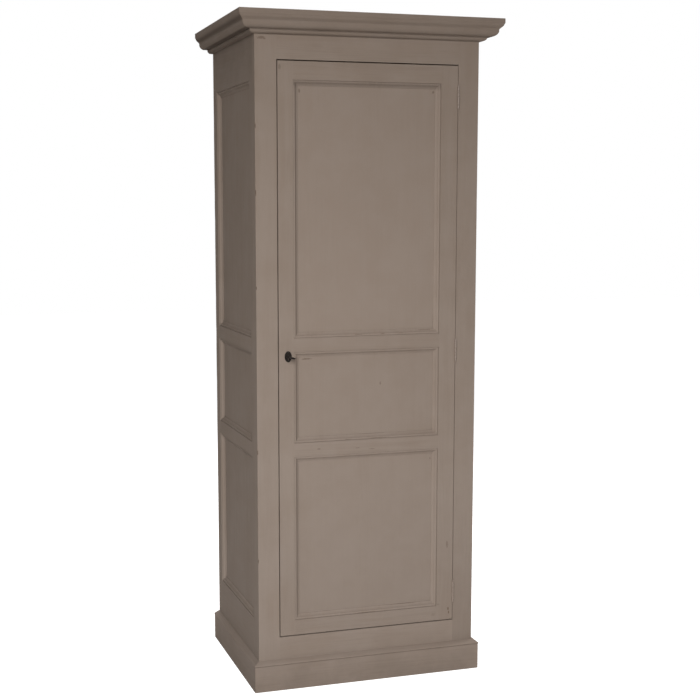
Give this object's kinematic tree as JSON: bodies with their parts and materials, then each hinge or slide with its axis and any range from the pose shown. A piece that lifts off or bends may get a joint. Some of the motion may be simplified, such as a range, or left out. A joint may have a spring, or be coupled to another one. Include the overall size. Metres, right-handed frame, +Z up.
{
  "type": "linen cupboard",
  "caption": "Tall narrow linen cupboard: painted frame-and-panel carcase with a crown cornice and plinth, one hinged panelled door with a key lock, shelves inside.",
  "frame": {"origin": "on the floor, under the middle of the cupboard's overall width and depth", "axes": "+Z up; the front with the door faces -Y; +X is to the right when facing the front"},
  "size_m": [0.81, 0.582, 2],
  "materials": {
    "painted_wood": "matt hand-brushed taupe paint, lightly rubbed through at the arrises",
    "waxed_wood": "plain softwood, waxed",
    "painted_iron": "iron painted over with the cupboard",
    "lock_steel": "dull aged steel",
    "dark_iron": "dark aged iron, rubbed"
  },
  "bodies": {
    "carcase": {"face_stile_left": "painted_wood", "face_stile_right": "painted_wood", "face_rail_top": "painted_wood", "face_rail_bottom": "painted_wood", "left_stile_front": "painted_wood", "left_stile_rear": "painted_wood", "left_rail_bottom": "painted_wood", "left_rail_lower": "painted_wood", "left_rail_upper": "painted_wood", "left_rail_top": "painted_wood", "left_panel_bottom": "painted_wood", "left_panel_middle": "painted_wood", "left_panel_top": "painted_wood", "left_mouldings": "painted_wood", "right_stile_front": "painted_wood", "right_stile_rear": "painted_wood", "right_rail_bottom": "painted_wood", "right_rail_lower": "painted_wood", "right_rail_upper": "painted_wood", "right_rail_top": "painted_wood", "right_panel_bottom": "painted_wood", "right_panel_middle": "painted_wood", "right_panel_top": "painted_wood", "right_mouldings": "painted_wood", "cornice_front": "painted_wood", "cornice_left": "painted_wood", "cornice_right": "painted_wood", "plinth_front": "painted_wood", "plinth_left": "painted_wood", "plinth_right": "painted_wood", "top_board": "waxed_wood", "floor_board": "waxed_wood", "back_boards": "waxed_wood", "shelf_lower": "waxed_wood", "shelf_middle": "waxed_wood", "shelf_upper": "waxed_wood", "shelf_battens": "waxed_wood", "hinge_leaves_frame": "painted_iron", "hinge_pins": "painted_iron", "frame_screws": "lock_steel", "keeper": "lock_steel"},
    "door": {"door_stile_lock": "painted_wood", "door_stile_hinge": "painted_wood", "door_rail_bottom": "painted_wood", "door_rail_lower": "painted_wood", "door_rail_upper": "painted_wood", "door_rail_top": "painted_wood", "door_panel_bottom": "painted_wood", "door_panel_middle": "painted_wood", "door_panel_top": "painted_wood", "door_moulding_bottom": "painted_wood", "door_moulding_middle": "painted_wood", "door_moulding_top": "painted_wood", "hinge_leaves_door": "painted_iron", "door_screws": "lock_steel", "lock_case": "lock_steel", "escutcheon": "dark_iron", "escutcheon_pins": "dark_iron"},
    "lock_bolt": {"lock_bolt": "lock_steel"},
    "key": {"key": "dark_iron"}
  },
  "joints": [
    {"name": "door_swing", "type": "hinge", "parent": "carcase", "child": "door", "pos_m": [0.28125, -0.23655, 1.014], "axis": [0, 0, 1], "range_deg": [0, 180]},
    {"name": "key_turn", "type": "hinge", "parent": "door", "child": "key", "pos_m": [-0.2515, -0.233, 1.012], "axis": [0, -1, 0], "range_deg": [0, 180]},
    {"name": "bolt_throw", "type": "slide", "parent": "door", "child": "lock_bolt", "axis": [-1, 0, 0], "range_m": [0, 0.0101]}
  ],
  "couplings": [
    {"joint": "bolt_throw", "follows": "key_turn", "m_per_rad": 0.0031831}
  ]
}
